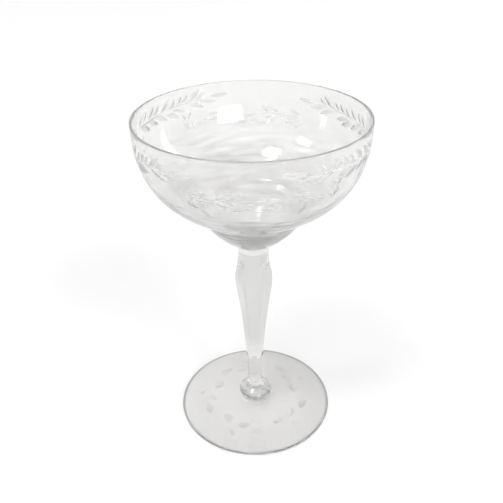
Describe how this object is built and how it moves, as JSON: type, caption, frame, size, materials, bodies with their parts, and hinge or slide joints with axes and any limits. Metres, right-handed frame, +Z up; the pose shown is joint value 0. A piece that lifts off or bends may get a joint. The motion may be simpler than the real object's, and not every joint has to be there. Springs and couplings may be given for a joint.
{
  "type": "champagne saucer",
  "caption": "Tall stemmed champagne saucer in clear cut crystal: round bowl with a ledge and a small bulb, panelled baluster stem, button knop and round foot.",
  "frame": {"origin": "middle of the foot, on the plane that it stands on", "axes": "+Z up the stem to the rim; -Y is the front, where a ridge of the stem lies a little to the right"},
  "size_m": [0.0892, 0.0892, 0.142],
  "materials": {
    "cut_crystal": "polished, with lightly frosted cuts",
    "clear_crystal": "polished"
  },
  "bodies": {
    "root": {"bowl": "cut_crystal", "stem_bit": "clear_crystal", "stem": "clear_crystal", "foot_knop": "clear_crystal", "foot": "cut_crystal"}
  },
  "joints": []
}
